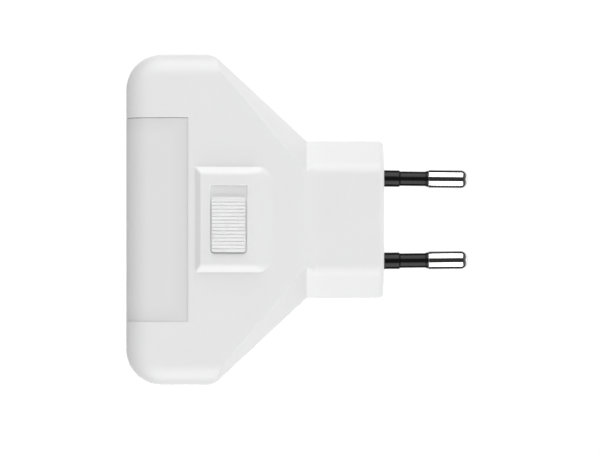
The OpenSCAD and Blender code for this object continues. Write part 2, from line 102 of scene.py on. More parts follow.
def net(f, xs, ys, zs, steps=4, snap=None):
    """Closed quad mesh of the surface f = 0 on a grid with uneven spacing: (vertices in mm, faces)."""
    v = np.broadcast_to(
        f(xs[:, None, None].astype(F), ys[None, :, None].astype(F), zs[None, None, :].astype(F)),
        (len(xs), len(ys), len(zs)),
    ).astype(F)
    inside = v < 0
    cnt = np.zeros((len(xs) - 1, len(ys) - 1, len(zs) - 1), np.int8)
    for a in (0, 1):
        for b in (0, 1):
            for c in (0, 1):
                cnt += inside[a : len(xs) - 1 + a, b : len(ys) - 1 + b, c : len(zs) - 1 + c]
    mixed = (cnt > 0) & (cnt < 8)
    index = np.full(mixed.shape, -1, np.int64)
    ci, cj, ck = np.nonzero(mixed)
    index[mixed] = np.arange(len(ci))
    corner = {}
    for a in (0, 1):
        for b in (0, 1):
            for c in (0, 1):
                corner[a, b, c] = v[ci + a, cj + b, ck + c].astype(float)
    lo = np.stack([xs[ci], ys[cj], zs[ck]], 1)
    size = np.stack([xs[ci + 1], ys[cj + 1], zs[ck + 1]], 1) - lo
    total = np.zeros_like(lo)
    count = np.zeros(len(ci))
    for axis in range(3):
        for m in (0, 1):
            for n in (0, 1):
                k0 = [0, 0, 0]
                others = [o for o in range(3) if o != axis]
                k0[others[0]], k0[others[1]] = m, n
                k1 = list(k0)
                k1[axis] = 1
                v0, v1 = corner[tuple(k0)], corner[tuple(k1)]
                cross = (v0 < 0) != (v1 < 0)
                t = np.where(cross, v0 / np.where(cross, v0 - v1, 1), 0)
                part = np.empty_like(lo)
                part[:, axis] = t
                part[:, others[0]] = m
                part[:, others[1]] = n
                total += np.where(cross[:, None], part, 0)
                count += cross
    p = lo + size * total / count[:, None]
    hi = lo + size
    for _ in range(steps):
        d = f(p[:, 0], p[:, 1], p[:, 2])
        g = gradient(f, p)
        move = -(d / np.maximum((g * g).sum(1), 0.2))[:, None] * g
        p = np.clip(p + np.clip(move, -0.3, 0.3), lo - size * 0.25, hi + size * 0.25)
    if snap:
        p = snap(p, lo, hi)
    quads = []

    def add(cells, flip):
        q = np.stack([index[c] for c in cells], 1)
        q[flip] = q[flip][:, ::-1]
        quads.append(q[(q >= 0).all(1)])

    s = inside[:-1, 1:-1, 1:-1] != inside[1:, 1:-1, 1:-1]
    i, j, k = np.nonzero(s)
    j, k = j + 1, k + 1
    add([(i, j - 1, k - 1), (i, j, k - 1), (i, j, k), (i, j - 1, k)], ~inside[i, j, k])
    s = inside[1:-1, :-1, 1:-1] != inside[1:-1, 1:, 1:-1]
    i, j, k = np.nonzero(s)
    i, k = i + 1, k + 1
    add([(i - 1, j, k - 1), (i - 1, j, k), (i, j, k), (i, j, k - 1)], ~inside[i, j, k])
    s = inside[1:-1, 1:-1, :-1] != inside[1:-1, 1:-1, 1:]
    i, j, k = np.nonzero(s)
    i, j = i + 1, j + 1
    add([(i - 1, j - 1, k), (i, j - 1, k), (i, j, k), (i - 1, j, k)], ~inside[i, j, k])
    return p, np.concatenate(quads)


def unit_rows(g):
    return g / np.maximum(np.linalg.norm(g, axis=1), 1e-6)[:, None]


def set_normals(mesh, f, scale=MM, e=0.012, crease=None):
    """normals from the distance function; at a crease each face keeps the normal of its own side"""
    n = len(mesh.vertices)
    co = np.empty(n * 3)
    mesh.vertices.foreach_get("co", co)
    co = co.reshape(-1, 3) / scale
    g = unit_rows(gradient(f, co, e))
    if crease is None:
        mesh.normals_split_custom_set_from_vertices(g.tolist())
        return
    loops = np.empty(len(mesh.loops), np.int64)
    mesh.loops.foreach_get("vertex_index", loops)
    count = np.empty(len(mesh.polygons), np.int64)
    mesh.polygons.foreach_get("loop_total", count)
    owner = np.repeat(np.arange(len(count)), count)
    centre = np.stack([np.bincount(owner, co[loops, i], len(count)) for i in range(3)], 1) / count[:, None]
    normals = g[loops]
    at = np.nonzero(crease(co)[loops])[0]
    q = co[loops[at]]
    d = centre[owner[at]] - q
    d *= np.minimum(1, 0.06 / np.maximum(np.linalg.norm(d, axis=1), 1e-6))[:, None]
    normals[at] = unit_rows(gradient(f, q + d, e))
    mesh.normals_split_custom_set(normals.tolist())


def add_mesh(name, verts, faces, smooth=True):
    mesh = bpy.data.meshes.new(name)
    mesh.from_pydata(np.asarray(verts).tolist(), [], [list(q) for q in faces])
    mesh.update()
    if smooth:
        mesh.shade_smooth()
    obj = bpy.data.objects.new(name, mesh)
    bpy.context.scene.collection.objects.link(obj)
    return obj


def shape(name, f, xs, ys, zs, flat=0.35, e=0.012, block=3.0, snap=None, crease=None):
    """Object from a distance function. Flat stretches become large faces, block by block; curved ones keep the grid."""
    p, q = net(f, xs, ys, zs, snap=snap)
    obj = add_mesh(name, p * MM, q)
    if flat is None:
        set_normals(obj.data, f, e=e, crease=crease)
        return obj
    cell = np.floor(p[q].mean(1) / block + 500).astype(np.int64).sum(1) & 1
    for _ in range(2):
        obj.data.materials.append(None)
    obj.data.polygons.foreach_set("material_index", cell.astype(np.int32))
    bm = bmesh.new()
    bm.from_mesh(obj.data)
    bmesh.ops.remove_doubles(bm, verts=bm.verts, dist=2e-7)
    bmesh.ops.dissolve_degenerate(bm, dist=1e-7, edges=bm.edges)
    bmesh.ops.dissolve_limit(
        bm, angle_limit=math.radians(flat), use_dissolve_boundaries=False, verts=bm.verts, edges=bm.edges,
        delimit={"MATERIAL"},
    )
    for face in bm.faces:
        face.smooth = True
        face.material_index = 0
    bm.to_mesh(obj.data)
    bm.free()
    obj.data.materials.clear()
    set_normals(obj.data, f, e=e, crease=crease)
    return obj


# ---------------------------------------------------------------- the housing's form

HT, HH, XF = 9.5, 37.0, -57.65
NH, NT, NK, NL = 17.6, 8.3, 19.8, 17.25
EDGE = 5.25
WALL = 1.8
SLOPE = (HH - NH) / (38.3 - NL)
SLANT = math.hypot(1, SLOPE)


FACET_M, FACET_X = 1.189, -17.27  # slope of the slanting facets, and where they run into the neck's chamfers


def half_thickness(x):
    """from the wide part down a short soft ramp to the neck"""
    return HT - 0.48 * (smax(x + 17.9, 0 * x, 1.1) - smax(x + 15.4, 0 * x, 1.1))


def soft_form(x, y, z):
    """slab with soft edges along the front, the top and the bottom"""
    return rmax(rmax(XF - x, np.abs(z) - HH, 8.0), np.abs(y) - half_thickness(x), EDGE)


def rim_form(x, y, z):
    """outline of the slanted edges and the neck, cut off square"""
    az = np.abs(z) + 0 * y
    f = amax(az - HH - 0.001, (az - NH + SLOPE * (x + NL)) / SLANT, 5.4, 1 / SLANT)
    return smin(f, np.maximum(az - NH, -(x + 24.0)), 0.25)


def facet_form(x, y, z):
    """the slanting 45 degree facets and the neck's chamfers"""
    k = NK + FACET_M * smax(FACET_X - x, 0 * x, 0.25)
    m = FACET_M * np.clip((FACET_X - x) / 0.25 + 0.5, 0, 1)
    return (np.abs(y) + np.abs(z) - k) / np.sqrt(2 + m * m)


FORMS = (soft_form, rim_form, facet_form)


def outer(x, y, z):
    facet = facet_form(x, y, z)
    f = np.maximum(np.maximum(soft_form(x, y, z), rim_form(x, y, z)), facet)
    # the neck's chamfers end in a soft edge, the facets in a crisp one
    r = 0.01 + 4.4 * np.clip((x + 17.4) / 2.0, 0, 1)
    return np.maximum(f, amax(np.abs(y) - half_thickness(x), facet, r, math.sqrt(0.5)))


def columns(f, p):
    return f(p[:, 0], p[:, 1], p[:, 2])


def snap_outer(p, lo, hi):
    """puts a vertex of the outer form onto the crease or corner that its cell holds"""
    ids = np.nonzero(np.abs(columns(outer, p)) < 0.05)[0]
    q, a, b = p[ids], lo[ids], hi[ids]
    leads = np.stack([np.argmax([columns(f, np.where([n & 1, n & 2, n & 4], b, a)) for f in FORMS], 0) for n in range(8)])
    active = np.stack([(leads == i).any(0) for i in range(3)], 1)
    some = active.sum(1) > 1
    ids, q, a, b, active = ids[some], q[some], a[some], b[some], active[some]
    start = q.copy()
    for _ in range(6):
        r = np.stack([np.where(active[:, i], columns(f, q), 0) for i, f in enumerate(FORMS)], 1)
        jac = np.stack([gradient(f, q, 0.004) * active[:, i : i + 1] for i, f in enumerate(FORMS)], 1)
        back = jac.transpose(0, 2, 1)
        step = np.linalg.solve(back @ jac + 1e-6 * np.eye(3), back @ r[:, :, None])[:, :, 0]
        q = q - step
    slack = (b - a) * 0.2
    off = np.abs(np.where(active, np.stack([columns(f, q) for f in FORMS], 1), 0)).max(1)
    good = ((q > a - slack) & (q < b + slack)).all(1) & (off < 1e-4) & (np.abs(columns(outer, q)) < 1e-4)
    p = p.copy()
    p[ids] = np.where(good[:, None], q, start)
    return p


def on_crease(p):
    v = np.sort(np.stack([columns(f, p) for f in FORMS]), 0)
    return (np.abs(columns(outer, p)) < 0.001) & (np.abs(v[2]) < 0.001) & (v[2] - v[1] < 2e-4)


def front(x, y):
    return rmax(XF - x, np.abs(y) - HT, EDGE)


SCREWS = [(-47.5, 31.0), (-47.5, -31.0), (-21.5, 0.0)]
STAKES = [(-35.6, 23.4), (-35.6, -23.4), (-25.2, 10.2), (-25.2, -10.2)]
SW_X, SW_Z = -34.55, 0.1
FLOOR = 10.35  # bottom of the knob's pocket, from the parting plane
SEAM_X, SEAM_Z = -43.6, 22.6


SEAM_GAP = 0.0025  # each side of the upright seam, which is close to invisible


def seam_lip(z):
    """the panel rests on the lower end of its seat, so only the upper seam is open"""
    return 0.008 + np.where(z > 0, 0.062, 0.014) * np.clip((np.abs(z) - 21.8) / 0.5, 0, 1)


def pin_holes(x, y, z):
    return np.hypot(y, np.abs(z) - 9.3) - 1.95


def inside_parts(x, h, z, rib_top):
    """ribs and carrier stops common to both halves; h is the distance from the parting plane"""
    az = np.abs(z)
    f = np.maximum(np.maximum(span(x, -51.6, -50.35), 4.4 - h), span(az, 24.6, 26.9))
    f = np.minimum(f, np.maximum(np.maximum(span(x, -48.1, -46.9), 4.4 - h), span(az, 24.6, 26.9)))
    return np.minimum(f, np.maximum(np.maximum(span(x, -12.0, -10.55), 4.6 - h), span(az, 6.0, 10.0)))


def common_cuts(f, x, y, z, h):
    # seat of the diffuser
    f = rmax(f, -rmax(x - (SEAM_X + SEAM_GAP), np.abs(z) - (SEAM_Z + 0.04), 0.12), seam_lip(z))
    f = np.maximum(f, -np.maximum(np.maximum(front(x, y) + 0.9, x + 42.0), np.abs(z) - 24.2))
    # holes for the pins
    f = rmax(f, -np.maximum(pin_holes(x, y, z), -3.0 - x), 0.08)
    # lip along the parting plane
    return rmax(f, -h, 0.13)


def switch_shell(x, y, z):
    h = -y
    core = outer(x, y, z)
    f = rmax(core, x, 1.2)
    # raised panel
    p = smax(h - 10.8, (h - 9.5 - (x + 42.1)) / math.sqrt(2), 0.13)
    p = smax(p, ((np.abs(z) - 11.68) * 1.3 + (h - 9.5) * 1.48) / 1.97, 0.4)
    p = smax(p, ((x + 24.9) * 1.3 + (h - 9.5) * 3.8) / 4.016, 0.3)
    p = smax(p, ((x + 27.08) * 0.657 + (np.abs(z) - 11.68) * 0.754 + (h - 9.5) * 1.677) / 1.9525, 0.35)
    f = smin(f, np.maximum(p, 9.0 - h), 0.1)
    # cavity with its ribs and bosses
    keep = inside_parts(x, h, z, 4.4)
    for cx, cz in SCREWS:
        keep = np.minimum(keep, np.hypot(x - cx, z - cz) - 2.9)
    for s in (-1, 1):
        r = np.hypot(x - SW_X, z - SW_Z - s * 8.7)
        keep = np.minimum(keep, np.maximum(r - 2.0, 6.25 - h))
        keep = np.minimum(keep, np.maximum(r - 1.0, 5.5 - h))
        keep = np.minimum(keep, np.maximum(r - 1.5, span(h, 5.25, 5.75)))
    cav = smax(core + WALL, x + 2.05, 0.3)
    f = np.maximum(f, np.minimum(-cav, keep))
    # pocket of the knob; its lower corners are rounder
    bx, bz = np.abs(x - SW_X) - 4.05, np.where(z < 0, SW_Z - 7.6 - z, z - SW_Z - 7.52)
    pocket = np.where(z < 0, rmax(bx, bz, 0.85), rmax(bx, bz, 0.35))
    f = rmax(f, -rmax(pocket, FLOOR - h, 0.12), 0.13 + 0.19 * np.clip((z - 4.6) / 1.2, 0, 1))
    f = np.maximum(f, -np.maximum(np.abs(x - SW_X) - 2.02, np.abs(z - SW_Z) - 3.7))
    for cx, cz in SCREWS:
        f = np.maximum(f, -np.maximum(np.hypot(x - cx, z - cz) - 1.05, h - 6.8))
    return common_cuts(f, x, y, z, h)


def plain_shell(x, y, z):
    h = y
    core = outer(x, y, z)
    f = rmax(core, x, 1.2)
    keep = inside_parts(x, h, z, 4.4)
    for cx, cz in SCREWS:
        keep = np.minimum(keep, np.hypot(x - cx, z - cz) - 4.0)
    for cx, cz in STAKES:
        r = np.hypot(x - cx, z - cz)
        keep = np.minimum(keep, np.maximum(r - 2.0, 5.65 - h))
        keep = np.minimum(keep, np.maximum(r - 0.9, 3.6 - h))
        keep = np.minimum(keep, np.maximum(r - 1.5, span(h, 3.45, 3.95)))
    slant = (np.abs(z) - NH + SLOPE * (x + NL)) / SLANT
    tongue = np.maximum(span(slant, -WALL - 1.0, -WALL + 0.2), span(x, -37.2, -23.5))
    keep = np.minimum(keep, np.maximum(tongue, h - 1.6))
    cav = smax(core + WALL, x + 2.05, 0.3)
    f = np.maximum(f, np.minimum(-cav, keep))
    for cx, cz in SCREWS:
        r = np.hypot(x - cx, z - cz)
        f = rmax(f, -np.maximum(r - 2.9, 5.6 - h), 0.2)
        f = np.maximum(f, 1.5 - r)
    f = common_cuts(f, x, y, z, h)
    tongue = np.maximum(span(slant, -WALL - 1.0, -WALL - 0.12), span(x, -37.2, -23.5))
    return np.minimum(f, rmax(tongue, span(h, -1.4, 0.4), 0.15))


def mirrored(*parts):
    """z lines for both signs from stretches that start at 0"""
    up = lines(*parts)[1:] - 0.00317
    return np.concatenate([-up[::-1], [0.0], up]) + 0.00317


Z_SWITCH = mirrored(
    (0, 7.3, 0.42), (7.3, 8.0, 0.075), (8.0, 9.95, 0.3), (9.95, 10.35, 0.09), (10.35, 11.5, 0.19), (11.5, 11.9, 0.09),
    (11.9, 17.2, 0.32), (17.2, 18.1, 0.15), (18.1, 22.3, 0.34), (22.3, 22.5, 0.08), (22.5, 22.85, 0.04),
    (22.85, 24.6, 0.2), (24.6, 36.1, 0.33), (36.1, 36.8, 0.16), (36.8, 37.2, 0.12),
)
X_SWITCH = lines(
    (-57.85, -56.95, 0.12), (-56.95, -55.1, 0.22), (-55.1, -51.9, 0.34), (-51.9, -44.2, 0.5), (-44.2, -43.75, 0.12),
    (-43.75, -43.63, 0.04), (-43.63, -43.57, 0.015), (-43.57, -43.4, 0.04), (-43.4, -43.1, 0.1), (-43.1, -42.3, 0.24),
    (-42.3, -41.9, 0.08), (-41.9, -41.0, 0.18), (-41.0, -40.6, 0.08), (-40.6, -38.95, 0.3), (-38.95, -38.3, 0.075),
    (-38.3, -30.8, 0.34), (-30.8, -30.15, 0.075), (-30.15, -29.0, 0.3), (-29.0, -28.4, 0.12), (-28.4, -25.2, 0.3),
    (-25.2, -24.6, 0.12), (-24.6, -18.9, 0.3),
    (-18.9, -17.7, 0.2), (-17.7, -16.9, 0.08), (-16.9, -14.5, 0.2), (-14.5, -3.2, 0.7), (-3.2, -1.3, 0.2), (-1.3, 0.2, 0.11),
)
Y_SWITCH = lines(
    (-11.1, -10.4, 0.075), (-10.4, -10.2, 0.1), (-10.2, -10.0, 0.05), (-10.0, -9.2, 0.08), (-9.2, -7.4, 0.2), (-7.4, -0.5, 0.33),
    (-0.5, -0.24, 0.09), (-0.24, 0.12, 0.04),
)
Z_PLAIN = mirrored(
    (0, 3.3, 0.13), (3.3, 11.0, 0.4), (11.0, 12.0, 0.25), (12.0, 17.2, 0.32), (17.2, 18.1, 0.15), (18.1, 22.3, 0.34),
    (22.3, 22.5, 0.08), (22.5, 22.85, 0.04), (22.85, 24.6, 0.2), (24.6, 27.8, 0.33), (27.8, 34.2, 0.13),
    (34.2, 36.1, 0.3), (36.1, 36.8, 0.16), (36.8, 37.2, 0.12),
)
X_PLAIN = lines(
    (-57.85, -56.95, 0.12), (-56.95, -55.1, 0.22), (-55.1, -51.9, 0.34), (-51.9, -50.7, 0.4), (-50.7, -44.3, 0.13),
    (-44.3, -43.75, 0.12), (-43.75, -43.63, 0.04), (-43.63, -43.57, 0.015), (-43.57, -43.4, 0.04), (-43.4, -43.1, 0.1),
    (-43.1, -24.7, 0.36), (-24.7, -18.3, 0.13), (-18.3, -17.7, 0.2), (-17.7, -16.9, 0.08), (-16.9, -14.5, 0.2),
    (-14.5, -3.2, 0.7), (-3.2, -1.3, 0.2), (-1.3, 0.2, 0.11),
)
Y_PLAIN = lines(
    (-1.6, -1.2, 0.1), (-1.2, -0.12, 0.36), (-0.12, 0.24, 0.04), (0.24, 0.5, 0.09), (0.5, 7.4, 0.33), (7.4, 9.0, 0.2),
    (9.0, 9.7, 0.1),
)

pieces = {}
pieces["housing_switch_side"] = shape(
    "housing_switch_side", switch_shell, X_SWITCH, Y_SWITCH, Z_SWITCH, snap=snap_outer, crease=on_crease)
pieces["housing_plain_side"] = shape(
    "housing_plain_side", plain_shell, X_PLAIN, Y_PLAIN, Z_PLAIN, snap=snap_outer, crease=on_crease)

# ---------------------------------------------------------------- diffuser


def diffuser(x, y, z):
    p = front(x, y)
    edge = rmax(x - (SEAM_X - SEAM_GAP), np.abs(z + 0.054) - (SEAM_Z - 0.024), 0.12)
    f = rmax(p, edge, seam_lip(z))
    f = np.minimum(f, rmax(p + 1.0, np.maximum(x + 42.1, np.abs(z) - 24.1), 0.15))
    return smax(f, -(p + WALL), 0.1)


pieces["opal_diffuser"] = shape(
    "opal_diffuser",
    diffuser,
    lines(
        (-57.85, -56.95, 0.1), (-56.95, -55.1, 0.18), (-55.1, -51.9, 0.3), (-51.9, -44.0, 0.8), (-44.0, -43.63, 0.045),
        (-43.63, -43.57, 0.015), (-43.57, -43.5, 0.045),
        (-43.5, -42.4, 0.3), (-42.4, -41.9, 0.1),
    ),
    lines(
        (-9.7, -9.0, 0.09), (-9.0, -7.3, 0.16), (-7.3, -3.5, 0.28), (-3.5, 3.5, 1.0), (3.5, 7.3, 0.28), (7.3, 9.0, 0.16),
        (9.0, 9.7, 0.09),
    ),
    mirrored((0, 20, 2.5), (20, 22.2, 0.55), (22.2, 22.75, 0.045), (22.75, 23.8, 0.35), (23.8, 24.3, 0.1)),
)

# ---------------------------------------------------------------- slide knob

KNOB_LO, KNOB_HI = -7.25, 4.85
KNOB_TOP = 1.1  # over the pocket's floor
PITCH, GROOVE = 0.7936, -6.474


def knob(x, y, z):
    h = -y - FLOOR
    ax = np.abs(x - SW_X)
    # flat top with its finger ridges
    top = h - KNOB_TOP
    t = np.abs((z - GROOVE + PITCH * 40.5) % PITCH - PITCH / 2)
    t = np.where((z < GROOVE - PITCH / 2) | (z > GROOVE + PITCH * 13.5), PITCH / 2, t)
    ridge = (top + 0.335 - 1.2 * np.sqrt(t * t + 0.0015)) / math.hypot(1, 1.2)
    top = smax(top, ridge, 0.11)
    sides = np.where(z < -1, rmax(ax - 3.725, KNOB_LO - z, 0.62), rmax(ax - 3.725, z - KNOB_HI, 0.35))
    f = rmax(top, sides, 0.09 + 0.13 * np.clip((z - KNOB_HI + 0.8) / 0.5, 0, 1))
    f = np.maximum(f, 0.06 - h)
    stem_z = SW_Z - 1.25
    stem = np.maximum(np.maximum(ax - 1.9, np.abs(z - stem_z) - 2.3), span(-y, 6.45, FLOOR + 0.3))
    barb = np.maximum(np.maximum(ax - 2.6, np.abs(z - stem_z) - 1.0), span(-y, 6.9, 7.6))
    foot = np.maximum(np.minimum(stem, barb), -np.maximum(np.maximum(ax - 1.26, np.abs(z - stem_z) - 1.26), -y - 8.8))
    return np.minimum(f, foot)


pieces["slide_knob"] = shape(
    "slide_knob",
    knob,
    lines((-38.4, -37.4, 0.055), (-37.4, -31.7, 0.95), (-31.7, -30.7, 0.055)),
    lines((-11.55, -10.95, 0.045), (-10.95, -10.2, 0.09), (-10.2, -6.3, 0.3)),
    # sixteen steps to a ridge, so that all ridges come out alike
    GROOVE + PITCH / 16 * np.arange(-18, 234) + 0.0213,
    flat=None,
)

# ---------------------------------------------------------------- screws on the plain side


def screw(x, y, z):
    r = np.hypot(x, z)
    f = smax(r - 2.6, y - 7.5, 0.1)
    # pan head: crown over a cylinder
    crown = np.sqrt(r * r + (y - 2.4) ** 2) - 5.1
    head = np.maximum(rmax(r - 2.6, 5.62 - y, 0.12), crown)
    neck = np.maximum(r - 1.4 + np.maximum(5.62 - y, 0) * 0.6, span(y, 5.0, 6.0))
    shank = np.maximum(np.maximum(r - 1.04, r - 1.04 + (-4.9 - y) * 0.5), span(y, -6.0, 5.8))
    f = np.minimum(np.minimum(head, neck), shank)
    # cross recess with tapering wings
    c, s = math.cos(math.radians(20)), math.sin(math.radians(20))
    u, v = x * c - z * s, x * s + z * c
    deep = 7.5 - y
    wing = 1.45 - deep * 0.55
    arm = np.minimum(
        np.maximum(np.abs(u) - wing, np.abs(v) - 0.29 + deep * 0.05),
        np.maximum(np.abs(v) - wing, np.abs(u) - 0.29 + deep * 0.05),
    )
    arm = np.minimum(arm, np.maximum(np.abs(u) + np.abs(v) - 0.78 + deep * 0.2, -deep - 1))
    recess = np.maximum(arm, deep - 1.25)
    return rmax(f, -recess, 0.05)


screw_p, screw_q = net(
    screw,
    lines((-2.7, 2.7, 0.09)),
    lines((-6.1, -4.8, 0.2), (-4.8, 4.9, 1.2), (4.9, 5.8, 0.11), (5.8, 7.6, 0.075)),
    lines((-2.7, 2.7, 0.09)),
)


def placed_screws():
    verts, faces = [], []
    for n, (cx, cz) in enumerate(SCREWS):
        verts.append(screw_p + np.array([cx, 0, cz]))
        faces.append(screw_q + n * len(screw_p))
    obj = add_mesh("cover_screws", np.concatenate(verts) * MM, np.concatenate(faces))
    g = gradient(screw, screw_p)
    g /= np.maximum(np.linalg.norm(g, axis=1), 1e-6)[:, None]
    obj.data.normals_split_custom_set_from_vertices(np.tile(g, (3, 1)).tolist())
    return obj


pieces["cover_screws"] = placed_screws()

# ---------------------------------------------------------------- turned pins and their sleeves


def soften(points, rounds, n=5):
    """closed or open profile with each corner replaced by an arc of its own radius"""
    out = []
    m = len(points)
    for i, (p, r) in enumerate(zip(points, rounds)):
        p = np.array(p, float)
        if r <= 0 or i in (0, m - 1):
            out.append(p)
            continue
        a, b = np.array(points[i - 1], float), np.array(points[i + 1], float)
        u, v = (a - p) / np.linalg.norm(a - p), (b - p) / np.linalg.norm(b - p)
        half = math.acos(max(-1, min(1, float(u @ v)))) / 2
        t = min(r / math.tan(half), 0.45 * np.linalg.norm(a - p), 0.45 * np.linalg.norm(b - p))
        r = t * math.tan(half)
        w = u + v
        c = p + w / np.linalg.norm(w) * r / math.sin(half)
        w0, w1 = p + u * t - c, p + v * t - c
        full = math.pi - 2 * half
        for k in range(n + 1):
            q = k / n
            out.append(c + (math.sin((1 - q) * full) * w0 + math.sin(q * full) * w1) / math.sin(full))
    return out


def lathe(name, profile, side, closed, count=128):
    """Turned piece on a pin's leaning axis. profile is a row of (radius, distance along the pin) in mm."""
    lean = math.radians(0.6) * side
    ax = np.array([math.cos(lean), 0, -math.sin(lean)])
    e1, e2 = np.array([0, 1.0, 0]), np.cross(ax, [0, 1.0, 0])
    foot = np.array([0, 0, side * 9.3])
    verts, rings = [], []
    for r, d in profile:
        if r < 1e-6:
            rings.append([len(verts)])
            verts.append(foot + ax * d)
        else:
            rings.append(list(range(len(verts), len(verts) + count)))
            for k in range(count):
                a = 2 * math.pi * k / count
                verts.append(foot + ax * d + r * (math.cos(a) * e1 + math.sin(a) * e2))
    faces = []
    pairs = list(zip(rings, rings[1:]))
    if closed:
        pairs.append((rings[-1], rings[0]))
    for a, b in pairs:
        for k in range(count):
            k2 = (k + 1) % count
            if len(a) == 1 and len(b) == 1:
                continue
            if len(a) == 1:
                faces.append([a[0], b[k2], b[k]])
            elif len(b) == 1:
                faces.append([a[k], a[k2], b[0]])
            else:
                faces.append([a[k], a[k2], b[k2], b[k]])
    obj = add_mesh(name, np.array(verts) * MM, faces)
    bm = bmesh.new()
    bm.from_mesh(obj.data)
    bmesh.ops.recalc_face_normals(bm, faces=bm.faces)
    bm.to_mesh(obj.data)
    bm.free()
    obj.data.set_sharp_from_angle(angle=math.radians(40))
    return obj


def pin_profile():
    pts = [(0, -13.6), (0.9, -13.6), (0.9, -10.7), (1.6, -10.5), (1.6, -8.5), (2.4, -8.5), (2.4, -7.0), (1.6, -7.0),
           (1.6, -2.2), (1.25, -2.2), (1.25, 10.25), (2.0, 10.25)]
    out = soften(pts + [(2.0, 14.0)], [0, 0.1, 0, 0, 0, 0.1, 0.1, 0, 0, 0, 0, 0.12, 0])
    out += [(2.0, 14 + 3.55 * i / 6) for i in range(1, 6)]
    tip = [(0.55 + 1.45 * math.cos(math.radians(a)), 17.55 + 1.45 * math.sin(math.radians(a))) for a in range(0, 91, 5)]
    return out + tip + [(0.3, 19.0), (0, 19.0)]


def sleeve_profile():
    pts = [(1.27, -2.0), (1.88, -2.0), (1.88, 3.6), (1.65, 3.9), (1.65, 9.5), (1.78, 9.8), (1.86, 10.2), (1.27, 10.2)]
    ring = soften(pts + [pts[0]], [0, 0.1, 0.12, 0.1, 0.2, 0.1, 0.07, 0, 0])
    fine = []
    for a, b in zip(ring, ring[1:]):
        n = max(1, int(np.linalg.norm(np.array(b) - np.array(a)) / 0.8))
        fine += [np.array(a) + (np.array(b) - np.array(a)) * i / n for i in range(n)]
    return fine


for side, word in ((1, "upper"), (-1, "lower")):
    pieces[word + "_contact_pin"] = lathe(word + "_contact_pin", pin_profile(), side, False)
    pieces[word + "_black_sleeve"] = lathe(word + "_black_sleeve", sleeve_profile(), side, True)

# ---------------------------------------------------------------- materials


class Tree:
    """short way to write a node tree"""

    def __init__(self, name):
        self.mat = bpy.data.materials.new(name)
        self.mat.use_nodes = True
        self.nodes = self.mat.node_tree.nodes
        self.links = self.mat.node_tree.links
        self.nodes.clear()
        self.out = self.nodes.new("ShaderNodeOutputMaterial")
        self.bsdf = self.nodes.new("ShaderNodeBsdfPrincipled")
        self.links.new(self.bsdf.outputs["BSDF"], self.out.inputs["Surface"])
        self.coord = self.nodes.new("ShaderNodeTexCoord").outputs["Object"]
        self.height = None

    def set(self, **values):
        for key, value in values.items():
            socket = self.bsdf.inputs[key.replace("_", " ")]
            socket.default_value = (*value, 1) if isinstance(value, tuple) and len(value) == 3 and socket.type == "RGBA" else value
        return self

    def link(self, a, b):
        self.links.new(a, b)

    def stretched(self, scale):
        m = self.nodes.new("ShaderNodeMapping")
        m.inputs["Scale"].default_value = scale
        self.link(self.coord, m.inputs["Vector"])
        return m.outputs["Vector"]

    def noise(self, scale, detail=3.0, rough=0.5, stretch=None):
        n = self.nodes.new("ShaderNodeTexNoise")
        n.inputs["Scale"].default_value = scale
        n.inputs["Detail"].default_value = detail
        n.inputs["Roughness"].default_value = rough
        self.link(self.stretched(stretch) if stretch else self.coord, n.inputs["Vector"])
        return n.outputs["Fac"]

    def voronoi(self, scale, feature="F1"):
        n = self.nodes.new("ShaderNodeTexVoronoi")
        n.feature = feature
        n.inputs["Scale"].default_value = scale
        self.link(self.coord, n.inputs["Vector"])
        return n.outputs["Distance"]

    def to_range(self, value, low, high, a=0.3, b=0.7):
        n = self.nodes.new("ShaderNodeMapRange")
        n.inputs["From Min"].default_value, n.inputs["From Max"].default_value = a, b
        n.inputs["To Min"].default_value, n.inputs["To Max"].default_value = low, high
        self.link(value, n.inputs["Value"])
        return n.outputs["Result"]

    def colours(self, value, stops, socket="Base Color"):
        n = self.nodes.new("ShaderNodeValToRGB")
        e = n.color_ramp.elements
        while len(e) < len(stops):
            e.new(0.5)
        for el, (pos, col) in zip(e, stops):
            el.position = pos
            el.color = (*col, 1)
        self.link(value, n.inputs["Fac"])
        if socket:
            self.link(n.outputs["Color"], self.bsdf.inputs[socket])
        return n.outputs["Color"]

    def math(self, op, a, b=None, c=None, clamp=False):
        n = self.nodes.new("ShaderNodeMath")
        n.operation = op
        n.use_clamp = clamp
        for i, v in enumerate((a, b, c)):
            if v is None:
                continue
            if isinstance(v, (int, float)):
                n.inputs[i].default_value = v
            else:
                self.link(v, n.inputs[i])
        return n.outputs["Value"]

    def axes(self):
        n = self.nodes.new("ShaderNodeSeparateXYZ")
        self.link(self.coord, n.inputs["Vector"])
        return n.outputs["X"], n.outputs["Y"], n.outputs["Z"]

    def bump(self, value, strength, distance):
        n = self.nodes.new("ShaderNodeBump")
        n.inputs["Strength"].default_value = strength
        n.inputs["Distance"].default_value = distance
        self.link(value, n.inputs["Height"])
        if self.height:
            self.link(self.height, n.inputs["Normal"])
        self.height = n.outputs["Normal"]
        self.link(self.height, self.bsdf.inputs["Normal"])

    def rough(self, value):
        self.link(value, self.bsdf.inputs["Roughness"])


def scaled(c, k):
    return tuple(min(1.0, v * k) for v in c)


